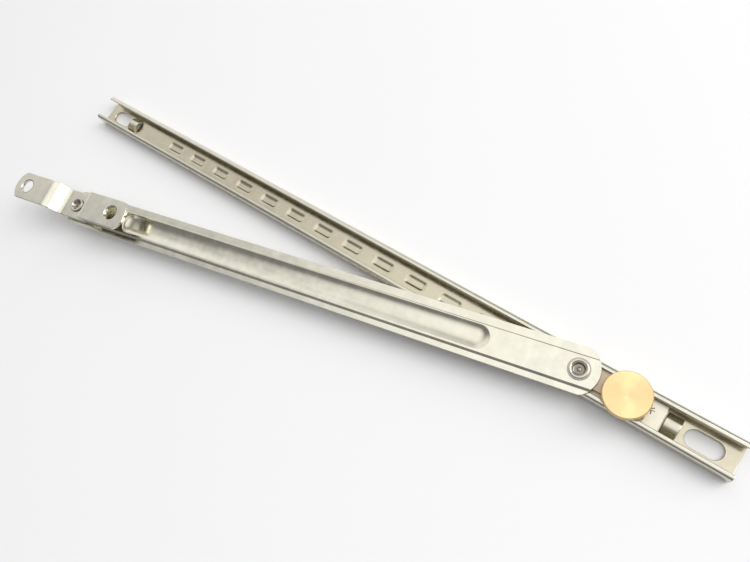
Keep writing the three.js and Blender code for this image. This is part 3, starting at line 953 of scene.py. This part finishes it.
class STAY_OT_slider(bpy.types.Operator):
    """Mill the slider's block and punch its plate"""
    bl_idname = "stay.slider"
    bl_label = "Slider"

    def execute(self, context):
        sizes, finishes = context.scene.stay_slider, context.scene.stay_finishes
        # painted shade: the plate darkens sharply just below its top face, so the tool marks cut into it are
        # painted dark
        steel = brushed_metal("slider plate steel", finishes.slider, 0.33, depth_shade=(2.9 * MM, 3.15 * MM, 0.28))
        hand_over(build_plate(sizes), "slider", steel, "slider_steel", "slider_plate")
        metal = brushed_metal("slider block metal", finishes.block, 0.4, tarnish=0.2)
        hand_over(build_block(sizes), "slider", metal, "block_metal", "slider_block")
        return {"FINISHED"}


class STAY_OT_thumb_screw(bpy.types.Operator):
    """Turn the brass thumb screw and knurl its head"""
    bl_idname = "stay.thumb_screw"
    bl_label = "Thumb screw"

    def execute(self, context):
        brass = turned_metal("turned brass", context.scene.stay_finishes.brass, 0.34, SCREW_AXIS,
                             0.42 * MM, 0.55)
        hand_over(build_thumb_screw(context.scene.stay_screw), "screw", brass, "brass", "thumb_screw")
        return {"FINISHED"}


class STAY_OT_rivets(bpy.types.Operator):
    """Set the two semi-tubular rivets and the washer under the pivot's rim"""
    bl_idname = "stay.rivets"
    bl_label = "Rivets"

    def execute(self, context):
        finishes = context.scene.stay_finishes
        pivot = build_rivet("pivot_rivet_set", "pivot_rivet", PIVOT, head_high=2.0 * MM,
                            rim_height=0.45 * MM, recess=2.3 * MM, depth=1.5 * MM, rim=3.1 * MM)
        # painted shade: the rivet darkens from its rim down into its cupped recess
        steel = turned_metal("pivot rivet steel", finishes.rivet, 0.26, PIVOT, 0.5 * MM, 0.2,
                             (8.0 * MM, 9.4 * MM, 0.42))
        hand_over(pivot, "slider", steel, "rivet_steel", "pivot_rivet")
        end = build_rivet("end_rivet_set", "end_rivet", END_RIVET, head_high=6.85 * MM,
                          rim_height=0.55 * MM, recess=2.2 * MM, depth=1.4 * MM, rim=3.3 * MM)
        # painted shade: the rivet darkens from its rim down into its cupped recess
        steel = turned_metal("end rivet steel", finishes.rivet, 0.26, END_RIVET, 0.5 * MM, 0.2,
                             (9.8 * MM, 11.15 * MM, 0.42))
        hand_over(end, "arm", steel, "rivet_steel", "end_rivet")
        washer = build_washer("pivot_washer_ring", "pivot_washer_upper", PIVOT, RIVET_HOLE)
        steel = turned_metal("pivot washer steel", shaded(finishes.rivet, 0.72)[:3], 0.3, PIVOT,
                             0.35 * MM, 0.3)
        hand_over(washer, "arm", steel, "slider_steel", "pivot_washer_upper")
        return {"FINISHED"}


class STAY_OT_arm(bpy.types.Operator):
    """Press the arm: raised land, long trough and bowed ends"""
    bl_idname = "stay.arm"
    bl_label = "Arm"

    def execute(self, context):
        steel = brushed_metal("arm steel", context.scene.stay_finishes.steel, 0.19, ARM_TURN, PIVOT,
                              grain=0.5)
        hand_over(build_arm(context.scene.stay_arm), "arm", steel, "satin_steel", "arm")
        return {"FINISHED"}


class STAY_OT_bracket(bpy.types.Operator):
    """Bend the sash bracket: steep riser, long ramp and two drilled lugs"""
    bl_idname = "stay.bracket"
    bl_label = "Sash bracket"

    def execute(self, context):
        steel = brushed_metal("bracket steel", context.scene.stay_finishes.steel, 0.22, ARM_TURN, END_RIVET,
                              grain=0.5)
        hand_over(build_bracket(context.scene.stay_bracket), "bracket", steel, "satin_steel", "end_bracket")
        return {"FINISHED"}


class STAY_OT_inner_parts(bpy.types.Operator):
    """Finish the parts that sit inside: liner, clamp pad, ring and the other washers"""
    bl_idname = "stay.inner_parts"
    bl_label = "Inner parts"

    def execute(self, context):
        finishes = context.scene.stay_finishes
        finish_of = {
            "slider_liner": moulded_nylon("liner nylon", finishes.nylon),
            "clamp_pad": moulded_nylon("clamp pad nylon", finishes.nylon),
            "end_washer_upper": moulded_nylon("bracket washer nylon", finishes.nylon),
            "retaining_ring": turned_metal("ring steel", finishes.slider, 0.3, SCREW_AXIS, 0.4 * MM, 0.2),
            "end_washer_lower": turned_metal("end washer steel", finishes.slider, 0.3, END_RIVET,
                                             0.4 * MM, 0.2),
            "pivot_washer_lower": turned_metal("pivot washer brass", finishes.brass, 0.34, PIVOT,
                                               0.4 * MM, 0.3),
        }
        for node, material in finish_of.items():
            piece = frame["nodes"][node]
            piece.data.materials.clear()
            piece.data.materials.append(material)
        return {"FINISHED"}


def area_light(name, size, energy, place, tint):
    """A square softbox that faces the middle of the track."""
    light = bpy.data.lights.new(name, "AREA")
    light.shape = "SQUARE"
    light.size, light.energy, light.color = size, energy, tint
    holder = bpy.data.objects.new(name, light)
    bpy.context.scene.collection.objects.link(holder)
    holder.location = place
    holder.rotation_euler = (-Vector(place)).to_track_quat("-Z", "Y").to_euler()


def studio_world():
    """A dim room with a bright ceiling light and a bright wall low on the far left."""
    world = bpy.data.worlds.new("studio")
    bpy.context.scene.world = world
    world.use_nodes = True
    tree = world.node_tree
    source = tree.nodes.new("ShaderNodeTexCoord").outputs["Generated"]

    def lobe(direction, start, end, low, high):
        """Light that rises smoothly from low to high as a direction nears the lobe's own."""
        dot = tree.nodes.new("ShaderNodeVectorMath")
        dot.operation = "DOT_PRODUCT"
        dot.inputs[1].default_value = Vector(direction).normalized()
        tree.links.new(source, dot.inputs[0])
        rise = tree.nodes.new("ShaderNodeMapRange")
        rise.interpolation_type = "SMOOTHSTEP"
        for name, value in (("From Min", start), ("From Max", end), ("To Min", low), ("To Max", high)):
            rise.inputs[name].default_value = value
        tree.links.new(dot.outputs["Value"], rise.inputs["Value"])
        return rise.outputs["Result"]

    level = lobe((0, 1, 0), -0.7, 0.3, 0.26, 0.36)
    ceiling = lobe((0.0, 0.15, 0.99), 0.70, 1.0, 0, 1.12)
    wall = lobe((-0.85, 0.45, 0.20), 0.60, 0.95, 0, 0.85)
    for other in (ceiling, wall):
        total = tree.nodes.new("ShaderNodeMath")
        tree.links.new(level, total.inputs[0])
        tree.links.new(other, total.inputs[1])
        level = total.outputs[0]
    tree.links.new(level, tree.nodes["Background"].inputs["Strength"])
    tree.nodes["Background"].inputs["Color"].default_value = (0.995, 0.998, 1.0, 1)


class STAY_OT_stage(bpy.types.Operator):
    """Lay the pale floor, hang the studio lights and set up the camera"""
    bl_idname = "stay.stage"
    bl_label = "Stage"

    def execute(self, context):
        scene = context.scene
        floor = add_plane("stage_floor", -2, 2, -2, 2, TRACK_LOW.z - 0.02 * MM)
        floor.data.materials.append(matt_floor("floor paper", scene.stay_finishes.floor))
        studio_world()
        area_light("key softbox", size=1.5, energy=27, place=(1.16, 0.98, 1.12), tint=(1, 0.99, 0.97))
        scene.view_settings.view_transform = "Standard"
        camera = bpy.data.cameras.new("camera")
        camera.lens, camera.sensor_width, camera.clip_start = CAMERA_LENS, 36, 5 * MM
        holder = bpy.data.objects.new("camera", camera)
        scene.collection.objects.link(holder)
        holder.location = CAMERA_PLACE
        holder.rotation_euler = tuple(map(math.radians, CAMERA_TURN))
        scene.camera = holder
        return {"FINISHED"}


class STAY_PT_panel(bpy.types.Panel):
    """Sizes, finishes and pieces of the friction stay"""
    bl_idname = "STAY_PT_panel"
    bl_label = "Friction stay"
    bl_space_type = "VIEW_3D"
    bl_region_type = "UI"
    bl_category = "Friction stay"

    def draw(self, context):
        layout = self.layout
        for operator in OPERATORS:
            layout.operator(operator.bl_idname)
        for name in SETTINGS:
            group = getattr(context.scene, name)
            box = layout.box()
            for key in type(group).__annotations__:
                box.prop(group, key)


SETTINGS = {
    "stay_track": TrackSizes,
    "stay_slider": SliderSizes,
    "stay_screw": ScrewSizes,
    "stay_arm": ArmSizes,
    "stay_bracket": BracketSizes,
    "stay_finishes": Finishes,
}
OPERATORS = (STAY_OT_track, STAY_OT_slider, STAY_OT_thumb_screw, STAY_OT_rivets, STAY_OT_arm,
             STAY_OT_bracket, STAY_OT_inner_parts, STAY_OT_stage)
CLASSES = (*SETTINGS.values(), *OPERATORS, STAY_PT_panel)


def register():
    for cls in CLASSES:
        bpy.utils.register_class(cls)
    for name, group in SETTINGS.items():
        setattr(bpy.types.Scene, name, PointerProperty(type=group))


def unregister():
    for name in SETTINGS:
        delattr(bpy.types.Scene, name)
    for cls in reversed(CLASSES):
        bpy.utils.unregister_class(cls)


def main():
    register()
    bpy.ops.stay.track()
    bpy.ops.stay.slider()
    bpy.ops.stay.thumb_screw()
    bpy.ops.stay.rivets()
    bpy.ops.stay.arm()
    bpy.ops.stay.bracket()
    bpy.ops.stay.inner_parts()
    bpy.ops.stay.stage()


if __name__ == "__main__":
    main()
